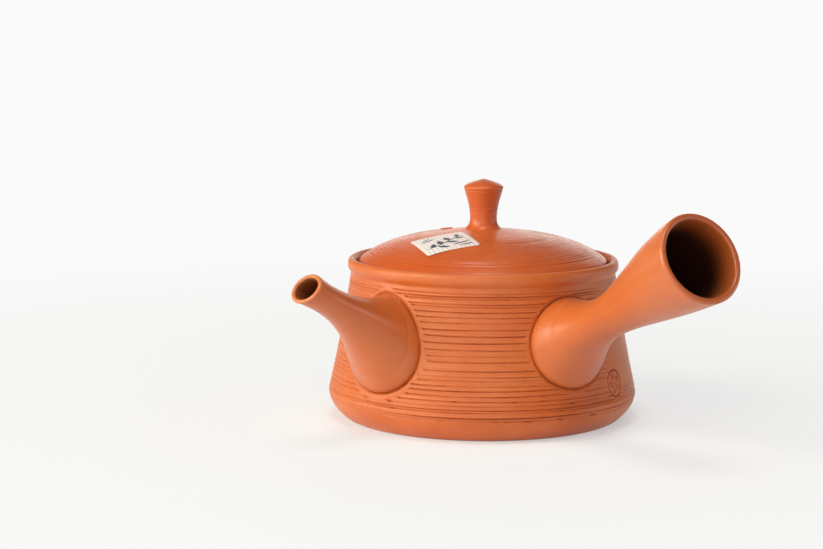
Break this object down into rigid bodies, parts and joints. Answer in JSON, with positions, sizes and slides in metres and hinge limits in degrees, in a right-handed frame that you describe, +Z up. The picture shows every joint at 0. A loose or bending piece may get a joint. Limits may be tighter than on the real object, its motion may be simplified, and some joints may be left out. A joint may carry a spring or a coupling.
{
  "type": "side-handled teapot",
  "caption": "Low side-handled clay teapot with a combed tapered wall, short spout, hollow trumpet handle, domed lift-off lid with knob and built-in ball strainer.",
  "frame": {"origin": "centre of the flat base, on the table", "axes": "+Z up along the pot's axis, -X along the spout, and the side handle stands 74 degrees on from the spout counter-clockwise seen from above, near -Y"},
  "size_m": [0.1469, 0.1759, 0.0835],
  "materials": {
    "red_clay": "fine unglazed red-orange clay, satin, combed by hand",
    "label_paper": "matt white paper with faint ruled lines"
  },
  "bodies": {
    "pot_body": {"pot": "red_clay", "spout": "red_clay", "side_handle": "red_clay", "strainer": "red_clay"},
    "lid_body": {"lid": "red_clay", "lid_knob": "red_clay", "lid_label": "label_paper"}
  },
  "joints": [
    {"name": "lid_lift", "type": "slide", "parent": "pot_body", "child": "lid_body", "axis": [0, 0, 1], "range_m": [0, 0.06]}
  ]
}
